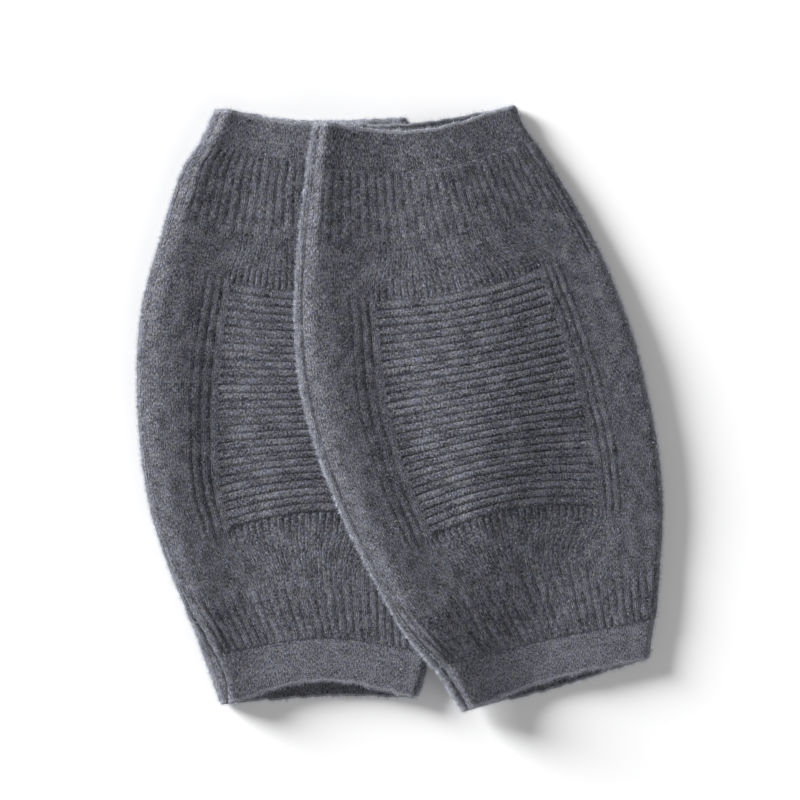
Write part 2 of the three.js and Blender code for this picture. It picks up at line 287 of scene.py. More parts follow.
def read(columns, name, along):
    """A column of a table at any places, given in its first column, on a smooth curve through its rows."""
    places, values = next(iter(columns.values())), columns[name]
    last = len(places) - 1
    before = np.maximum(np.arange(last + 1) - 1, 0)
    after = np.minimum(np.arange(last + 1) + 1, last)
    slopes = (values[after] - values[before]) / (places[after] - places[before])
    at = np.clip(along, places[0], places[-1])
    i = np.clip(np.searchsorted(places, at, side="right") - 1, 0, last - 1)
    length = places[i + 1] - places[i]
    rise = values[i + 1] - values[i]
    t = (at - places[i]) / length
    start = slopes[i] * length - rise
    end = rise - slopes[i + 1] * length
    return values[i] + rise * t + t * (1 - t) * (start * (1 - t) + end * t)


def bell(x):
    """A smooth bump, 1 at 0 and nearly 0 beyond 2 either way."""
    return np.exp(-x * x)


def bow(u):
    """The curve of a knitted row, 0 at its middle and 1 at both folds."""
    return 1.6 * u**2 - 0.6 * u**4


def fade(x, start, end):
    """0 before start and 1 after end, with a smooth change between them."""
    t = np.clip((x - start) / (end - start), 0, 1)
    return t * t * (3 - 2 * t)


def plateau(x, start, full, ebbing, end):
    """0 before start, 1 from full to ebbing and 0 again after end, with smooth changes between them."""
    return fade(x, start, full) * (1 - fade(x, ebbing, end))


def unevenness(x, y, seed):
    """Smooth chance bumps between -1 and 1, about one apart."""
    size = 64
    grid = np.random.default_rng(seed).uniform(-1, 1, (size, size))
    column, row = np.floor(x).astype(int), np.floor(y).astype(int)
    s, t = fade(x - column, 0, 1), fade(y - row, 0, 1)

    def corner(i, j):
        return grid[(column + i) % size, (row + j) % size]

    low = corner(0, 0) * (1 - s) + corner(1, 0) * s
    high = corner(0, 1) * (1 - s) + corner(1, 1) * s
    return low * (1 - t) + high * t


def flat_half(warmer, along):
    """Half the flat width between the two folds."""
    outline = warmer["outline"]
    return (read(outline, "left", along) + read(outline, "right", along)) / 2 - FOLD


def girth(warmer, along):
    """The length of fabric round the tube. Distances round it start at the middle of the left fold."""
    return 4 * QUARTER + 4 * flat_half(warmer, along)


def distance_of(warmer, along, u):
    """The distance round the tube of a place on the front."""
    return QUARTER + (u + 1) * flat_half(warmer, along)


def left_seam(warmer, along):
    """The distance of the left seam, which lies a little inside the outline, seen from above."""
    inset = read(warmer["outline"], "seam", along)
    curved = FOLD * np.arccos((FOLD - np.minimum(inset, FOLD)) / FOLD)
    return np.where(inset > FOLD, QUARTER + inset - FOLD, curved)


def right_seam(warmer, along):
    """The distance of the right seam, halfway round from the left one."""
    return girth(warmer, along) / 2 + left_seam(warmer, along)


def spot(warmer, along, distance):
    """Where a place round the tube is: u, from -1 at the left fold to 1 at the right one, and the angle that
    the surface faces."""
    half = flat_half(warmer, along)
    d = distance % girth(warmer, along)
    ends = [QUARTER, QUARTER + 2 * half, 3 * QUARTER + 2 * half, 3 * QUARTER + 4 * half]
    parts = [d < end for end in ends]
    u = np.select(parts, [-1, (d - QUARTER) / half - 1, 1, 1 - (d - ends[2]) / half], -1)
    turns = [math.pi - d / FOLD, UP, UP - (d - ends[1]) / FOLD, -UP]
    return u, np.select(parts, turns, -UP - (d - ends[3]) / FOLD)


def knee_ends(warmer):
    """Places along of the knee panel's lower and upper edge."""
    return warmer["zones"]["knee_start"], warmer["zones"]["knee_end"]


def soft_form(warmer, u, along):
    """How far the front as a whole swells or sinks, so that it is full at the folds and over the knee."""
    start, end = knee_ends(warmer)
    level = bell((along - (start + end) / 2) / (KNEE_REACH * (end - start)))
    return level * read(warmer["swell"], "knee", u) + (1 - level) * read(warmer["swell"], "ends", u)


def to_world(warmer, across, along):
    """A place of the warmer's flat frame where the warmer lies."""
    (x, y), turn = warmer["corner"], math.radians(warmer["turn"])
    return (
        x + across * math.cos(turn) - along * math.sin(turn),
        y + across * math.sin(turn) + along * math.cos(turn),
    )


def support(warmer, x, y):
    """The height of what the warmer lies on: the floor, or for the over warmer the under one."""
    if warmer is not OVER:
        return 0.0
    (corner_x, corner_y), turn = UNDER["corner"], math.radians(UNDER["turn"])
    across = (x - corner_x) * math.cos(turn) + (y - corner_y) * math.sin(turn)
    along = (y - corner_y) * math.cos(turn) - (x - corner_x) * math.sin(turn)
    beyond = across - read(UNDER["outline"], "right", along)
    top = 2 * FOLD + KNEE_RISE + CLEARANCE
    return top * (1 - fade(beyond, SLOPE_START, SLOPE_END))


def place(warmer, along, distance, raised):
    """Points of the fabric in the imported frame, in metres, raised above its plain outer surface."""
    u, angle = spot(warmer, along, distance)
    facing = np.sin(angle)
    rows, outline = warmer["rows"], warmer["outline"]
    sag = np.where(facing > 0, read(rows, "front", along), read(rows, "back", along))
    height = along + read(rows, "tilt", along) * u - sag * (1 - bow(u))
    left, right = read(outline, "left", height), read(outline, "right", height)
    # Nothing stands out underneath, where the warmer rests.
    radius = FOLD + np.where(raised > 0, raised * np.minimum(1, 1 + facing), raised)
    spine = ((left + right) / 2 - FOLD) * u + (right - left) / 2 * u**2
    x, y = to_world(warmer, spine + np.cos(angle) * radius, height)
    lift = facing * radius + np.maximum(0, facing) * soft_form(warmer, u, along)
    z = support(warmer, x, y) + FOLD + lift
    return np.stack([x - MIDDLE[0], y - MIDDLE[1], z], -1) * MM


# ---- meshes

# How much painted shade a place gets, in grooves, where the fabric turns down at the seams and inside, how
# far it is on a knee panel's ridges, and how much painted highlight a band's rolled edge gets, or how light a
# loose fibre's yarn is.
MASKS = ("painted_shade", "panel", "light")


def in_box(low, high, x, y):
    """Places in the bake, as shares of the way from a box's low corner to its high one."""
    return np.stack([low[0] + x * (high[0] - low[0]), low[1] + y * (high[1] - low[1])], -1)


class Wall:
    """A closed wall of fabric, gathered patch by patch and then made into one object."""

    def __init__(self):
        self.points, self.knit, self.masks = [], [], []
        self.triangles, self.bake = [], []
        self.border = []
        self.count = 0

    def add_points(self, points, knit, masks, border=None):
        """Adds points with their place in the knit, in stitches, and their masks. Returns their numbers."""
        shape = points.shape[:-1]
        total = int(np.prod(shape))
        numbers = (self.count + np.arange(total)).reshape(shape)
        self.points.append(points.reshape(-1, 3))
        self.knit.append(np.stack([np.broadcast_to(k, shape) for k in knit], -1).reshape(-1, 2))
        self.masks.append(np.stack([np.broadcast_to(m, shape) for m in masks], -1).reshape(-1, len(masks)))
        edge = np.zeros(shape, bool) if border is None else border
        self.border.append(edge.ravel())
        self.count += total
        return numbers

    def add_patch(self, numbers, bake, triangles):
        """Triangles between points, given as places in a list of numbers, with their place in the bake."""
        self.triangles.append(numbers[triangles])
        self.bake.append(bake[triangles])

    def grid(self, numbers, low, high):
        """A grid of points that faces out where columns run right and rows run up."""
        rows, columns = numbers.shape
        corner = (np.arange(rows - 1)[:, None] * columns + np.arange(columns - 1)).ravel()
        ends = [corner, corner + 1, corner + columns + 1, corner + columns]
        triangles = [np.stack([ends[i] for i in three], 1) for three in ((0, 1, 2), (0, 2, 3))]
        x, y = np.meshgrid(np.linspace(0, 1, columns), np.linspace(0, 1, rows))
        bake = in_box(low, high, x, y).reshape(-1, 2)
        self.add_patch(numbers.ravel(), bake, np.concatenate(triangles))

    def rim(self, fine, coarse, picks, low, high):
        """Joins a line of points to a coarser one. picks says which of the fine points each lies at.
        The rim faces the viewer where both lines run to the right and the coarse one is above."""
        middles = np.arange(len(fine) - 1) + 0.5
        owner = np.abs(middles[:, None] - picks[None, :]).argmin(1)
        fans = np.stack([np.arange(len(fine) - 1), np.arange(1, len(fine)), len(fine) + owner], 1)
        j = np.arange(len(coarse) - 1)
        apex = np.searchsorted(owner, j, side="right")
        caps = np.stack([apex, len(fine) + j + 1, len(fine) + j], 1)
        share = np.concatenate([np.arange(len(fine)), picks]) / (len(fine) - 1)
        level = np.concatenate([np.zeros(len(fine)), np.ones(len(coarse))])
        places = np.concatenate([fine, coarse])
        self.add_patch(places, in_box(low, high, share, level), np.concatenate([fans, caps]))

    def finish(self, name, material):
        """Makes the object, with its two maps, its masks and sharp edges along its borders."""
        mesh = bpy.data.meshes.new(name)
        points = np.concatenate(self.points)
        triangles = np.concatenate(self.triangles)
        mesh.vertices.add(len(points))
        mesh.vertices.foreach_set("co", points.astype(np.float32).ravel())
        mesh.loops.add(triangles.size)
        mesh.loops.foreach_set("vertex_index", triangles.astype(np.int32).ravel())
        mesh.polygons.add(len(triangles))
        mesh.polygons.foreach_set("loop_start", np.arange(0, triangles.size, 3, dtype=np.int32))
        mesh.update(calc_edges=True)
        maps = {"OFBake": np.concatenate(self.bake), "knit": np.concatenate(self.knit)[triangles]}
        for title, places in maps.items():
            layer = mesh.uv_layers.new(name=title)
            layer.uv.foreach_set("vector", places.astype(np.float32).ravel())
        masks = np.concatenate(self.masks)
        for title, values in zip(MASKS, masks.T):
            attribute = mesh.attributes.new(title, "FLOAT", "POINT")
            attribute.data.foreach_set("value", values.astype(np.float32))
        border = np.concatenate(self.border)
        ends = np.zeros(len(mesh.edges) * 2, np.int32)
        mesh.edges.foreach_get("vertices", ends)
        sharp = border[ends].reshape(-1, 2).all(1)
        mesh.attributes.new("sharp_edge", "BOOLEAN", "EDGE").data.foreach_set("value", sharp)
        mesh.polygons.foreach_set("use_smooth", np.ones(len(triangles), bool))
        mesh.materials.append(material)
        mesh.update()
        piece = bpy.data.objects.new(name, mesh)
        bpy.context.scene.collection.objects.link(piece)
        return piece


def spans(start, *steps):
    """Places from start on, through (end, spacing) stretches with even steps."""
    places = [np.array([start], float)]
    for end, spacing in steps:
        count = max(1, round((end - start) / spacing))
        places.append(np.linspace(start, end, count + 1)[1:])
        start = end
    return np.concatenate(places)


def groove(phase, power=0.4):
    """A narrow groove at each whole number: 1 at its bottom and 0 on the rib or ridge between."""
    return 1 - np.abs(np.sin(math.pi * phase)) ** power


# A front panel's columns, counted in eighths of a rib. Beside and across the knee they follow the side ribs
# and the panel's edges instead of the ribs.
COLUMNS = 8 * RIBS
SIDE_COLUMNS = 8 * SIDE_RIBS
LEFT_FLANK = 42
PANEL_COLUMNS = 98
PANEL_LEFT = LEFT_FLANK + SIDE_COLUMNS
PANEL_RIGHT = PANEL_LEFT + PANEL_COLUMNS
RIGHT_FLANK = PANEL_RIGHT + SIDE_COLUMNS
SEAM_COLUMNS = np.array([0, 0.12, 0.3, 0.6])
FRONT_COLUMNS = np.concatenate([SEAM_COLUMNS, np.arange(1, COLUMNS), COLUMNS - SEAM_COLUMNS[::-1]])

RIDGE_STEPS = 7  # rows of points to a ridge
COURSES = 3  # rows of stitches to a ridge

# A panel's inside is smooth, so it has fewer points. A back has its own columns: even ones underneath, and
# finer ones from there up over the left fold.
INNER_ROWS = 44
FRONT_INNER_COLUMNS = 52
BACK_INNER_COLUMNS = 40
BACK_FLAT_COLUMNS = 34
BACK_TURNED_COLUMNS = 56
NEAR_SEAM = 0.035  # the last share of those, beside the seam


def course(warmer, along):
    """A place along, counted in rows of stitches from the knee panel's lower edge."""
    panel = COURSES * RIDGES
    # At each of the warmer's zones, in their order.
    counts = [-51, -36, -19, 0, panel, panel + 15, panel + 38, panel + 48]
    return np.interp(along, list(warmer["zones"].values()), counts)


def body_rows(warmer):
    """Places along of a panel's rows of points: finest at the seams and over the knee panel."""
    zones = warmer["zones"]
    ridge = (zones["knee_end"] - zones["knee_start"]) / RIDGES
    return spans(
        zones["ribs_start"] + JOIN,
        (zones["ribs_start"] + 2.2, 0.45),
        (zones["ribs_end"] - 3, 1.2),
        (zones["ribs_end"] + 2, 0.8),
        (zones["knee_start"], 1.3),
        (zones["knee_end"], ridge / RIDGE_STEPS),
        (zones["top_ribs"] - 2, 1.3),
        (zones["top_ribs"] + 3, 0.8),
        (zones["band"] - 2.2, 1.2),
        (zones["band"] - JOIN, 0.45),
    )


def ribbed(warmer, along, fray):
    """1 where the warmer is ribbed above and below the knee, 0 elsewhere."""
    zones = warmer["zones"]
    low = fade(along, zones["ribs_start"], zones["ribs_start"] + 1.4)
    low = low * (1 - fade(along + fray, zones["ribs_end"] - 3, zones["ribs_end"] + 2))
    high = fade(along + fray, zones["top_ribs"] - 2, zones["top_ribs"] + 3)
    return low + high * (1 - fade(along, zones["band"] - 1.4, zones["band"]))


def worn(phase, along, seed):
    """How clearly a groove shows, which changes from groove to groove and from stitch to stitch."""
    groove_number = np.round(phase)
    slow = unevenness(groove_number * 0.83, along / 8, seed)
    quick = unevenness(groove_number * 5.3, along / 1.7, seed + 1)
    return np.clip(0.75 + 0.35 * slow + 0.3 * quick, 0.25, 1.25)


def rib_form(warmer, along, rib):
    """How high the ribs stand, and how deep in a groove a place is, which sets its painted shade.
    rib counts the ribs.
    """
    seed = warmer["seeds"]["ribs"]
    fray = 3.5 * unevenness(rib * 0.9, along * 0, seed)
    zone = ribbed(warmer, along, fray)
    sideways = 0.12 * unevenness(rib * 0.7, along / 3.1, seed + 5)
    depth = zone * worn(rib, along, seed + 2) * groove(rib + sideways)
    return zone * RISE - RIB_GROOVE * depth, 1.15 * depth


def front_distances(warmer, along):
    """Distances round the tube of a front panel's columns, for each row."""
    start = left_seam(warmer, along) + JOIN
    end = right_seam(warmer, along) - JOIN
    left, right = read(warmer["knee"], "left", along), read(warmer["knee"], "right", along)
    side_ribs = SIDE_RIBS * SIDE_RIB_PITCH
    stops = [distance_of(warmer, along, u) for u in (left - side_ribs, left, right, right + side_ribs)]
    stops = np.stack([start, *stops, end], -1)
    marks = [0, LEFT_FLANK, PANEL_LEFT, PANEL_RIGHT, RIGHT_FLANK, COLUMNS]
    fitted = np.stack([np.interp(FRONT_COLUMNS, marks, row) for row in stops])
    even = start[:, None] + (end - start)[:, None] * FRONT_COLUMNS / COLUMNS
    zones = warmer["zones"]
    low = (zones["ribs_end"] + 2, zones["knee_start"] - 3)
    high = (zones["knee_end"] + 3, zones["top_ribs"] - 2)
    return even + (fitted - even) * plateau(along, *low, *high)[:, None]


def seam_roll(warmer, along, distance, seam):
    """How far the fabric turns down beside a side seam, most of all near the bottom band."""
    away = np.abs(distance - seam(warmer, along))
    near = np.clip(1 - away / SEAM_WIDTH, 0, 1)
    depth = SEAM_DEPTH * (1 - 0.85 * fade(along, 40, 100))
    depth = depth * (1 + 0.3 * unevenness(along / 4, along * 0, SEAM_SEED))
    return depth * (1 - np.sqrt(1 - near**2))


def fold_grooves(warmer, along, distance):
    """How deep a place is in a groove that runs along a fold."""
    wander = 0.3 * unevenness(along / 9, along * 0, FOLD_SEED)
    from_left = distance - left_seam(warmer, along) + wander
    from_right = girth(warmer, along) / 2 - distance + wander
    total = 0
    for right, away, start, end, depth in zip(*warmer["fold_lines"].values()):
        off = (from_right if right else from_left) - away
        reach = plateau(along, start - 2, start + 4, end - 16, end + 12)
        total = total + depth * reach * bell(off / FOLD_GROOVE_WIDTH)
    return total * np.clip(0.8 + 0.5 * unevenness(along / 5, along * 0, FOLD_SEED + 1), 0.3, 1)


def ridge_grooves(warmer, column, row, distance):
    """How deep a place is in a groove between two ridges of the knee panel, how far it is on the panel, and
    whether the panel is raised there."""
    ridge = course(warmer, row) / COURSES
    rows = (ridge >= 0) * (ridge <= RIDGES)
    panel = rows * plateau(column, PANEL_LEFT - 1, PANEL_LEFT + 1, PANEL_RIGHT - 1, PANEL_RIGHT + 1)
    clear = 0.6 + 0.4 * worn(ridge, distance / 1.3, warmer["seeds"]["front"])
    raised = rows * (column >= PANEL_LEFT) * (column <= PANEL_RIGHT)
    return panel * clear * groove(ridge), panel, raised


def side_grooves(warmer, column, row):
    """How deep a place is in a groove between two side ribs, and how far the side ribs are raised there. They
    run a little past the panel's corners."""
    (start, end), seed = knee_ends(warmer), warmer["seeds"]["front"]
    beside = np.where(column < COLUMNS / 2, PANEL_LEFT - column, column - PANEL_RIGHT) / 8
    reach = plateau(row, start - 4, start + 1, end - 1, end + 4)
    sideways = 0.08 * unevenness(beside * 0, row / 4, seed + 5)
    depth = reach * (beside > 0.5) * (beside < SIDE_RIBS + 0.5)
    depth = depth * worn(beside, row, seed + 6) * groove(beside + sideways, 0.6)
    raised = reach * (1 - fade(beside, SIDE_RIBS - 0.2, SIDE_RIBS + 0.8)) * (beside >= 0)
    return depth, raised


def wale_grooves(warmer, column, row):
    """How deep a place is in a groove between two wales of the plain fabric, and how plain the fabric is. Two
    wales make a rib, and they show best beside the knee panel's first and last ridges."""
    (start, end), seed = knee_ends(warmer), warmer["seeds"]["front"]
    plain = (1 - ribbed(warmer, row, 0)) * (1 - plateau(row, start - 2, start, end, end + 2))
    depth = plain * (0.5 + 0.5 * worn(column / 4, row, seed + 8)) * groove(column / 4, 0.6)
    depth = depth * (0.6 + 1.5 * (bell((row - start) / 6) + bell((row - end) / 6)))
    return depth * plateau(column, PANEL_LEFT - 12, PANEL_LEFT, PANEL_RIGHT, PANEL_RIGHT + 12), plain


def front_form(warmer, along, distance):
    """A front panel's relief and masks on its grid."""
    seed = warmer["seeds"]["front"]
    column = np.broadcast_to(FRONT_COLUMNS, distance.shape)
    row = np.broadcast_to(along[:, None], distance.shape)
    ribs, rib_shade = rib_form(warmer, row, column / 8)
    ridges, panel, panel_raised = ridge_grooves(warmer, column, row, distance)
    sides, sides_raised = side_grooves(warmer, column, row)
    wales, plain = wale_grooves(warmer, column, row)
    folds = fold_grooves(warmer, row, distance)

    rise = ribs + RISE * np.maximum(panel_raised, sides_raised)
    rise = rise - RIDGE_GROOVE * ridges - SIDE_GROOVE * sides - WALE_GROOVE * wales - FOLD_GROOVE * folds
    rise = rise + 0.16 * unevenness(distance / 13, row / 17, seed + 3)
    rise = rise + 0.05 * unevenness(distance / 2.3, row / 2.9, seed + 4)
    turned = seam_roll(warmer, row, distance, left_seam) + seam_roll(warmer, row, distance, right_seam)
    # Painted shade: darker in the grooves and along the folds, where the fabric turns down at the seams, and
    # a little on the plain fabric.
    painted_shade = rib_shade + ridges + sides + 0.7 * wales + 1.4 * folds + 0.05 * plain
    return rise - turned, np.clip(painted_shade + 0.2 * turned, 0, 1), panel


def wandered(warmer, along, distance):
    """Places moved a little, as rows and wales wander, but not at the seams, where the pieces meet."""
    zones, seed = warmer["zones"], warmer["seeds"]["wander"]
    start, end = zones["ribs_start"], zones["band"]
    free = plateau(along, start, start + 5, end - 5, end)
    for seam in (left_seam(warmer, along), right_seam(warmer, along)):
        free = free * fade(np.abs(distance - seam), 0, 4)
    rows = WANDER * unevenness(distance / 9, along / 6, seed)
    wales = WANDER * unevenness(distance / 6, along / 12, seed + 1)
    return along + free * rows, distance + free * wales


def coarse_picks(count, target):
    """About a target number of places in a count of them, with the first and the last."""
    return np.unique(np.round(np.linspace(0, count - 1, target)).astype(int))


def panel_wall(warmer, along, distance, rise, masks, wale, inner_columns):
    """The closed wall of a front or back panel, and the points of its outer grid."""
    wall = Wall()
    row = np.broadcast_to(along[:, None], distance.shape)
    edge = np.zeros(distance.shape, bool)
    edge[[0, -1], :] = True
    edge[:, [0, -1]] = True
    outer = place(warmer, *wandered(warmer, row, distance), rise)
    numbers = wall.add_points(outer, (wale, course(warmer, row)), masks, edge)
    wall.grid(numbers, (0, 0), (1, 0.8))

    rows = coarse_picks(len(along), INNER_ROWS)
    columns = coarse_picks(distance.shape[1], inner_columns)
    pick = np.ix_(rows, columns)
    inner = place(warmer, row[pick], distance[pick], -WALL)
    knit = (np.broadcast_to(wale, distance.shape)[pick], course(warmer, row[pick]))
    # The inside gets painted shade.
    inside = wall.add_points(inner, knit, (0.6, 0, 0), edge[pick])
    wall.grid(inside[::-1], (0, 0.82), (1, 0.9))
    wall.rim(numbers[-1], inside[-1], columns, (0, 0.91), (1, 0.93))
    wall.rim(numbers[0][::-1], inside[0][::-1], len(numbers[0]) - 1 - columns[::-1], (0, 0.94), (1, 0.96))
    wall.rim(numbers[::-1, 0], inside[::-1, 0], len(along) - 1 - rows[::-1], (0, 0.965), (1, 0.98))
    wall.rim(numbers[:, -1], inside[:, -1], rows, (0, 0.985), (1, 1))
    return wall, outer


def front_panel(warmer, material):
    """The front panel, and the points of its outer grid."""
    along = body_rows(warmer)
    distance = front_distances(warmer, along)
    rise, painted_shade, panel = front_form(warmer, along, distance)
    wale = FRONT_COLUMNS / 4
    wall, outer = panel_wall(warmer, along, distance, rise, (painted_shade, panel, 0), wale, FRONT_INNER_COLUMNS)
    return wall.finish(f"{warmer['name']}_front_knit", material), outer


def back_panel(warmer, material):
    """The back runs from the right seam, flat underneath, and up over the left fold to the left seam."""
    along = body_rows(warmer)
    start = right_seam(warmer, along) + JOIN
    end = girth(warmer, along) + left_seam(warmer, along) - JOIN
    fold = girth(warmer, along) - QUARTER - 2
    shares = np.linspace(0, 1 - NEAR_SEAM, BACK_TURNED_COLUMNS)[1:]
    shares = np.concatenate([shares, 1 - NEAR_SEAM * SEAM_COLUMNS[::-1]])
    flat = start[:, None] + (fold - start)[:, None] * np.linspace(0, 1, BACK_FLAT_COLUMNS)
    turned = fold[:, None] + (end - fold)[:, None] * shares
    distance = np.concatenate([flat, turned], 1)
    row = np.broadcast_to(along[:, None], distance.shape)
    rib = RIBS * (distance - start[:, None]) / (end - start)[:, None]
    rise, painted_shade = rib_form(warmer, row, rib)
    turned_down = seam_roll(warmer, row, distance - girth(warmer, row), left_seam)
    rise = rise + 0.05 * unevenness(distance / 2.3, row / 2.9, BACK_SEED) - turned_down
    # Painted shade in the rib grooves and where the fabric turns down at the seam.
    painted_shade = np.clip(painted_shade + 0.2 * turned_down, 0, 1)
    wall, outer = panel_wall(warmer, along, distance, rise, (painted_shade, 0, 0), 2 * rib, BACK_INNER_COLUMNS)
    return wall.finish(f"{warmer['name']}_back_knit", material), outer


BAND_ROWS = 22  # rows of points outside a band
HEM_STEPS = 10  # round its free edge
BAND_COLUMNS = 480  # round the warmer
BAND_STITCHES = 4 * RIBS  # round the warmer, two to a rib


def band_section(seam, edge):
    """A band's section from the seam out to its rolled free edge and back inside: places along, how far they
    are raised above the outer surface, and how much painted highlight they get near the rolled edge."""
    way = math.copysign(1, edge - seam)
    start = seam + way * JOIN
    outer = start + (edge - way * HEM_ROUND - start) * np.linspace(0, 1, BAND_ROWS)
    turn = np.linspace(0, math.pi, HEM_STEPS + 1)[1:-1]
    inner = outer[::-3]
    along = np.concatenate([outer, edge - way * HEM_ROUND * (1 - np.sin(turn)), inner])
    raised = [np.zeros_like(outer), HEM_ROUND * (np.cos(turn) - 1), np.full_like(inner, -WALL)]
    # Painted highlight along the rolled free edge, full on its curve.
    rim = fade(outer, edge - way * 2.6, edge - way * 1.5)
    light = [rim, np.ones_like(turn), np.zeros_like(inner)]
    return along, np.concatenate(raised), np.concatenate(light)


def band_ring(warmer, part, seam, edge, material):
    """A closed ring round one opening, and the points of its outside."""
    along, raised, light = band_section(seam, edge)
    wale = np.linspace(0, BAND_STITCHES, BAND_COLUMNS + 1)
    row = np.broadcast_to(along[:, None], (len(along), len(wale)))
    # The same share of the way round lies on the seam in the ring and in the panels.
    distance = left_seam(warmer, row) + girth(warmer, row) * wale / BAND_STITCHES
    outside = (raised > -HEM_ROUND)[:, None]
    texture = 0.1 * unevenness(distance / 9, row / 7, BAND_SEED)
    texture = texture + 0.05 * unevenness(distance / 2.3, row / 2.9, BAND_SEED + 1)
    calm = fade(np.abs(row - seam), 0, 3)
    turned = seam_roll(warmer, row, distance, left_seam) + seam_roll(warmer, row, distance, right_seam)
    turned = turned + seam_roll(warmer, row, distance - girth(warmer, row), left_seam)
    rise = raised[:, None] + np.where(outside, texture * calm - 0.6 * turned, 0)
    # Painted shade where the band turns down at the seams, and a little all over its inside.
    painted_shade = np.where(outside, np.clip(0.2 * turned, 0, 1), 0.2)

    # The free edge wavers, but not where the ring closes.
    waver = 0.5 * unevenness(wale / 2.3, wale * 0, BAND_SEED + 2)
    waver = waver + 0.15 * unevenness(wale / 0.7, wale * 0, BAND_SEED + 3)
    waver = waver * plateau(wale, 0, 6, BAND_STITCHES - 6, BAND_STITCHES)
    free = fade(np.abs(row - seam), 0.4 * abs(edge - seam), abs(edge - seam))
    points = place(warmer, row + free * waver, distance, rise)

    # The last column of points is the first one again, and the last row joins the first one.
    wall = Wall()
    border = np.zeros(distance.shape, bool)
    border[[0, -1]] = True
    knit = (wale[:-1], course(warmer, row)[:, :-1])
    masks = (painted_shade[:, :-1], 0, light[:, None])
    numbers = wall.add_points(points[:, :-1], knit, masks, border[:, :-1])
    numbers = np.pad(numbers, ((0, 1), (0, 1)), mode="wrap")
    shown = points[: BAND_ROWS + HEM_STEPS]
    if edge < seam:
        numbers, shown = numbers[::-1], shown[::-1]
    wall.grid(numbers, (0, 0), (1, 1))
    return wall.finish(f"{warmer['name']}_{part}_band_knit", material), shown


# ---- fuzz

FIBRES = 40000  # on each warmer
FIBRE_LENGTH = (0.7, 3.2)
FIBRE_WIDTH = (0.05, 0.1)
FIBRE_LEAN = (0.3, 1.9)  # how much a fibre lies over, where 0 stands straight out
FIBRE_ROOT = 0.05  # how deep in the fabric it starts, and how far above the floor it stays
# A fibre has five points: two at its root, two halfway and its tip. These are their places in the fibre's own
# cell of the bake, and the triangles between them.
FIBRE_CELL = np.array([(0.1, 0.1), (0.9, 0.1), (0.8, 0.5), (0.2, 0.5), (0.5, 0.9)])
FIBRE_TRIANGLES = np.array([(0, 1, 2), (0, 2, 3), (3, 2, 4)])


def cells(grid):
    """Corners, area and facing of a grid's four-sided cells, and how far up the cloth as a whole faces."""
    corners = [grid[:-1, :-1], grid[:-1, 1:], grid[1:, 1:], grid[1:, :-1]]
    corners = np.stack([corner.reshape(-1, 3) for corner in corners], 1)
    normal = np.cross(corners[:, 2] - corners[:, 0], corners[:, 3] - corners[:, 1])
    size = np.linalg.norm(normal, axis=1)
    normal = normal / np.maximum(size, 1e-12)[:, None]
    upward = softened(normal.reshape(grid.shape[0] - 1, grid.shape[1] - 1, 3))[..., 2].ravel()
    return corners, size / 2, normal, upward


def softened(values, reach=RIDGE_STEPS // 2):
    """Each place of a grid averaged with its neighbours, so that ribs and ridges no longer show."""
    width = 2 * reach + 1
    for axis in (0, 1):
        edges = [(reach, reach) if i == axis else (0, 0) for i in range(3)]
        padded = np.pad(values, edges, mode="edge")
        count = values.shape[axis]
        values = sum(np.take(padded, range(k, k + count), axis) for k in range(width)) / width
    return values


def unit(vectors):
    """Vectors made one long."""
    return vectors / np.linalg.norm(vectors, axis=-1, keepdims=True)


def fuzz(name, grids, seed, material):
    """Loose fibres standing out from the fabric: thickest where it turns over, few where it lies below."""
    chance = np.random.default_rng(seed)
    found = zip(*[cells(grid) for grid in grids])
    corners, area, normal, upward = [np.concatenate(parts) for parts in found]
    turned = 1 - fade(upward, 0.3, 0.9)
    above = fade(upward, -0.8, -0.2)
    weight = area * above * (0.15 + 2.4 * turned)
    chosen = chance.choice(len(area), FIBRES, p=weight / weight.sum())

    s, t = chance.random((2, FIBRES, 1))
    low = corners[chosen, 0] * (1 - s) + corners[chosen, 1] * s
    high = corners[chosen, 3] * (1 - s) + corners[chosen, 2] * s
    out = normal[chosen]
    root = low * (1 - t) + high * t - out * FIBRE_ROOT * MM
    lean = chance.uniform(*FIBRE_LEAN, (FIBRES, 1))
    away = unit(out + lean * unit(chance.normal(size=(FIBRES, 3))))
    away = np.where((away * out).sum(1, keepdims=True) < 0.12, unit(away + 1.2 * out), away)
    bend = unit(away + 0.7 * chance.normal(size=(FIBRES, 3)))
    length = chance.uniform(*FIBRE_LENGTH, (FIBRES, 1)) * MM
    side = unit(np.cross(away, chance.normal(size=(FIBRES, 3))))
    side = side * chance.uniform(*FIBRE_WIDTH, (FIBRES, 1)) * MM
    middle = root + away * length * 0.5
    tip = middle + bend * length * 0.5
    points = np.stack([root - side / 2, root + side / 2, middle + side * 0.35, middle - side * 0.35, tip], 1)
    points[..., 2] = np.maximum(points[..., 2], FIBRE_ROOT * MM)

    number = np.arange(FIBRES)
    side_cells = math.ceil(math.sqrt(FIBRES))
    cell = np.stack([number % side_cells, number // side_cells], -1)
    bake = (cell[:, None] + FIBRE_CELL) / side_cells
    triangles = 5 * number[:, None, None] + FIBRE_TRIANGLES

    wall = Wall()
    # Fibres from the same yarn are alike.
    yarn = unevenness(root[:, 0] / (0.7 * MM), root[:, 1] / (0.7 * MM), seed)
    tone = np.clip(0.5 + 0.5 * yarn + 0.2 * chance.normal(size=FIBRES), 0, 1)
    numbers = wall.add_points(points, (0.0, 0.0), (0, 0, tone[:, None]))
    wall.add_patch(numbers.ravel(), bake.reshape(-1, 2), triangles.reshape(-1, 3))
    return wall.finish(name, material)


# ---- materials


def linear(value):
    """A screen value from 0 to 255 as light."""
    share = value / 255
    return share / 12.92 if share <= 0.04045 else ((share + 0.055) / 1.055) ** 2.4


def colour(red, green, blue):
    """A colour given by its screen values."""
    return (linear(red), linear(green), linear(blue), 1)


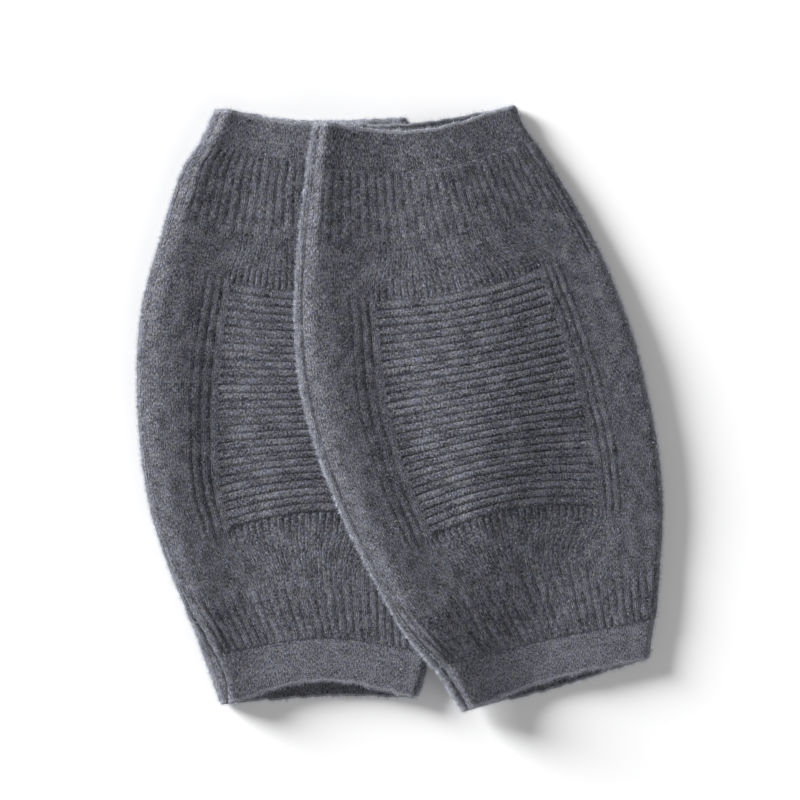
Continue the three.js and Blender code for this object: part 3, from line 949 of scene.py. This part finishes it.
class Nodes:
    """Makes a material's nodes from plain calls."""

    def __init__(self, name):
        self.material = bpy.data.materials.new(name)
        self.material.use_nodes = True
        self.tree = self.material.node_tree
        self.shader = self.tree.nodes["Principled BSDF"]

    def feed(self, node, inputs):
        """Gives a node its inputs: the outputs of other nodes, and plain values."""
        for socket, value in dict(inputs).items():
            if isinstance(value, bpy.types.NodeSocket):
                self.tree.links.new(value, node.inputs[socket])
            else:
                node.inputs[socket].default_value = value

    def add(self, kind, inputs=(), **settings):
        node = self.tree.nodes.new(kind)
        for name, value in settings.items():
            setattr(node, name, value)
        self.feed(node, inputs)
        return node

    def math(self, operation, *values):
        return self.add("ShaderNodeMath", enumerate(values), operation=operation).outputs[0]

    def plus(self, first, second):
        return self.math("ADD", first, second)

    def minus(self, first, second):
        return self.math("SUBTRACT", first, second)

    def times(self, first, second):
        return self.math("MULTIPLY", first, second)

    def fraction(self, value):
        return self.math("FRACT", value)

    def wave(self, phase, power):
        """0 at whole numbers and 1 halfway between them."""
        height = self.math("ABSOLUTE", self.math("SINE", self.times(phase, math.pi)))
        return self.math("POWER", height, power)

    def mask(self, name):
        return self.add("ShaderNodeAttribute", attribute_name=name).outputs["Fac"]

    def vector(self, x, y):
        return self.add("ShaderNodeCombineXYZ", {0: x, 1: y}).outputs[0]

    def noise(self, vector, scale, detail, rough):
        inputs = {"Vector": vector, "Scale": scale, "Detail": detail, "Roughness": rough}
        return self.add("ShaderNodeTexNoise", inputs).outputs["Fac"]

    def range(self, value, start, end, low=0.0, high=1.0):
        inputs = {0: value, 1: start, 2: end, 3: low, 4: high}
        return self.add("ShaderNodeMapRange", inputs).outputs[0]

    def blend(self, share, first, second):
        inputs = {0: share, 6: first, 7: second}
        return self.add("ShaderNodeMix", inputs, data_type="RGBA").outputs[2]


DARK_WOOL = colour(19, 19, 23)
WARM_WOOL = colour(150, 149, 155)
BLUE_WOOL = colour(141, 144, 161)
# Painted shade for grooves, turned-down seams and the inside.
SHADE_COLOUR = colour(30, 30, 35)
# Painted shade between the stitches.
SHADE_BETWEEN_STITCHES = colour(34, 35, 40)
# Painted highlight for the bands' rolled free edges.
HEM_HIGHLIGHT = colour(190, 192, 200)
SHEEN = colour(200, 203, 214)
DARK_FIBRE = colour(78, 80, 88)
LIGHT_FIBRE = colour(226, 231, 244)


def stitch_form(nodes, x, y):
    """How high the yarn stands, and y counted along leaning legs. A wale is a column of V stitches: its left
    legs lean one way and its right legs the other. On a knee panel's ridges all of them lean the same way."""
    across = nodes.fraction(nodes.times(x, 2.0))
    left = nodes.math("LESS_THAN", nodes.fraction(x), 0.5)
    way = nodes.minus(nodes.times(left, 2.0), 1.0)
    lean = nodes.times(way, nodes.times(nodes.minus(across, 0.5), 0.32))
    step = nodes.plus(y, lean)
    stitch = nodes.times(nodes.wave(across, 0.6), nodes.wave(step, 0.5))
    ridge = nodes.fraction(nodes.math("DIVIDE", y, float(COURSES)))
    slanting = nodes.minus(nodes.times(x, 8 / 3), nodes.times(ridge, 1.1))
    return nodes.blend(nodes.mask("panel"), stitch, nodes.wave(slanting, 0.6)), step


def wool(name, finer, contrast, darkness):
    """Heathered wool knit. finer is how many stitches stand where a panel has one. More contrast parts the
    dark fibres from the light ones, and more darkness makes more of them dark."""
    nodes = Nodes(name)
    knit = nodes.add("ShaderNodeUVMap", uv_map="knit").outputs[0]
    split = nodes.add("ShaderNodeSeparateXYZ", {0: knit})
    x, y = (nodes.times(split.outputs[i], finer) for i in (0, 1))
    height, step = stitch_form(nodes, x, y)

    # Yarn spun from light and dark fibres: specks and short streaks of either, darker and lighter patches,
    # and fibres that are a little warmer or bluer than the rest.
    place = nodes.vector(nodes.times(x, 2.9 / finer), nodes.times(y, 1.5 / finer))
    lying = nodes.vector(nodes.times(x, 2.9 / finer), nodes.times(step, 0.75 / finer))
    streaks = nodes.noise(lying, 1.3, 2.0, 0.6)
    specks = nodes.noise(place, 1.15, 3.0, 0.95)
    clouds = nodes.noise(place, 0.13, 3.0, 0.6)
    share = nodes.times(nodes.range(streaks, 0.3, 0.7), 0.5)
    share = nodes.plus(share, nodes.times(nodes.range(specks, 0.3, 0.7), 0.5))
    share = nodes.plus(share, nodes.times(nodes.minus(clouds, 0.5), 0.75 / contrast**2))
    share = nodes.range(share, 0.52 - 0.38 / contrast, 0.52 + 0.38 / contrast)
    share = nodes.math("POWER", share, darkness)
    tint = nodes.range(nodes.noise(place, 0.25, 4.0, 0.7), 0.4, 0.6)
    yarn = nodes.blend(share, DARK_WOOL, nodes.blend(tint, WARM_WOOL, BLUE_WOOL))

    # Painted shade in the grooves, at the turned-down seams and inside.
    yarn = nodes.blend(nodes.times(nodes.mask("painted_shade"), 0.68), yarn, SHADE_COLOUR)
    # Painted highlight along the bands' rolled free edges, broken by specks.
    light = nodes.times(nodes.mask("light"), nodes.range(specks, 0.3, 0.7, 0.05, 0.5))
    yarn = nodes.blend(light, yarn, HEM_HIGHLIGHT)
    # Painted shade between the stitches, where the stitch form is low.
    yarn = nodes.blend(nodes.range(height, 0.0, 0.7, 0.42, 0.0), yarn, SHADE_BETWEEN_STITCHES)

    relief = nodes.plus(nodes.times(height, 0.12 / finer), nodes.times(specks, 0.45))
    bump = nodes.add("ShaderNodeBump", {"Height": relief, "Distance": MM, "Strength": 1.0})
    look = {
        "Base Color": yarn,
        "Normal": bump.outputs[0],
        "Roughness": nodes.range(streaks, 0.2, 0.8, 0.86, 1.0),
        "Specular IOR Level": 0.2,
        "Sheen Weight": 0.35,
        "Sheen Roughness": 0.5,
        "Sheen Tint": SHEEN,
    }
    nodes.feed(nodes.shader, look)
    return nodes.material


def loose_wool():
    """The colour of the loose fibres, from dark to light."""
    nodes = Nodes("loose_wool")
    tone = nodes.math("POWER", nodes.mask("light"), 1.15)
    fibre = nodes.blend(tone, DARK_FIBRE, LIGHT_FIBRE)
    nodes.feed(nodes.shader, {"Base Color": fibre, "Roughness": 0.9, "Specular IOR Level": 0.2})
    return nodes.material


# ---- the pair

knit_wool = wool("knit_wool", finer=1.0, contrast=1.1, darkness=1.42)
band_wool = wool("band_wool", finer=1.3, contrast=1.5, darkness=1.08)
dark_band_wool = wool("dark_band_wool", finer=1.3, contrast=1.3, darkness=1.6)
fuzz_wool = loose_wool()


def add_piece(piece, node):
    """Hangs a dressed piece on the root body and hides the CAD part that it stands for."""
    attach(piece, "root")
    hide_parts(node)


def add_warmer(warmer):
    """Builds one warmer from the tables of its form. Returns its front."""
    name, zones = warmer["name"], warmer["zones"]
    along = body_rows(warmer)
    half_girth = girth(warmer, along) / 2
    front, front_grid = front_panel(warmer, knit_wool)
    back, back_grid = back_panel(warmer, knit_wool)
    grids = [front_grid, back_grid]
    for part, seam, edge in (("top", "band", "top"), ("bottom", "ribs_start", "hem")):
        material = dark_band_wool if (name, part) == ("over", "top") else band_wool
        band, band_grid = band_ring(warmer, part, zones[seam], zones[edge], material)
        grids.append(band_grid)
        around = girth(warmer, np.linspace(zones[seam], zones[edge], 9))
        add_piece(band, f"{name}_{part}_band")
    fibres = fuzz(f"{name}_fuzz", grids, warmer["seeds"]["fuzz"], fuzz_wool)
    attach(fibres, "root")
    add_piece(front, f"{name}_front")
    add_piece(back, f"{name}_back")
    return front


under_front = add_warmer(UNDER)
add_warmer(OVER)

# ---- floor and light

FLOOR_WHITE = (0.93, 0.93, 0.935, 1)  # as light

# These are in metres.
FLOOR_REACH = 6.0
FLOOR_GAP = 0.0002  # between the floor and the warmers
FABRIC_TOP = 0.006
CAMERA_HEIGHT = 2.5  # above the top of the fabric
VIEW_WIDTH = 0.436  # of what the picture shows at the top of the fabric


def add_floor():
    """A white surface far larger than the picture."""
    mesh = bpy.data.meshes.new("floor")
    signs = [(-1, -1), (1, -1), (1, 1), (-1, 1)]
    mesh.from_pydata([(x * FLOOR_REACH, y * FLOOR_REACH, 0) for x, y in signs], [], [(0, 1, 2, 3)])
    floor = bpy.data.objects.new("floor", mesh)
    bpy.context.scene.collection.objects.link(floor)
    floor.location.z = -FLOOR_GAP
    nodes = Nodes("floor_white")
    nodes.feed(nodes.shader, {"Base Color": FLOOR_WHITE, "Roughness": 0.9, "Specular IOR Level": 0.1})
    mesh.materials.append(nodes.material)


def add_light(name, azimuth, elevation, spread, strength):
    """A large soft light far away. Its azimuth turns from the right over the top of the view, in degrees."""
    data = bpy.data.lights.new(name, "SUN")
    data.angle = math.radians(spread)
    data.energy = strength
    light = bpy.data.objects.new(name, data)
    turn, rise = math.radians(azimuth), math.radians(elevation)
    direction = Vector((math.cos(turn) * math.cos(rise), math.sin(turn) * math.cos(rise), math.sin(rise)))
    light.location = direction
    light.rotation_euler = direction.to_track_quat("Z", "Y").to_euler()
    bpy.context.scene.collection.objects.link(light)


def add_world(strength):
    """Even white light from all round."""
    world = bpy.data.worlds.new("studio")
    world.use_nodes = True
    background = world.node_tree.nodes["Background"]
    background.inputs["Color"].default_value = (1, 1, 1, 1)
    background.inputs["Strength"].default_value = strength
    bpy.context.scene.world = world


def add_camera():
    """Straight above the middle of the pair."""
    data = bpy.data.cameras.new("camera")
    data.lens = data.sensor_width * CAMERA_HEIGHT / VIEW_WIDTH
    camera = bpy.data.objects.new("camera", data)
    camera.location = (-MIDDLE[0] * MM, -MIDDLE[1] * MM, CAMERA_HEIGHT + FABRIC_TOP)
    bpy.context.scene.collection.objects.link(camera)
    bpy.context.scene.camera = camera


add_floor()
add_world(0.22)
add_light("window_light", azimuth=150, elevation=15.5, spread=24, strength=8.9)
add_light("fill_light", azimuth=318, elevation=7, spread=90, strength=2.1)
add_camera()
bpy.context.scene.view_settings.view_transform = "Standard"
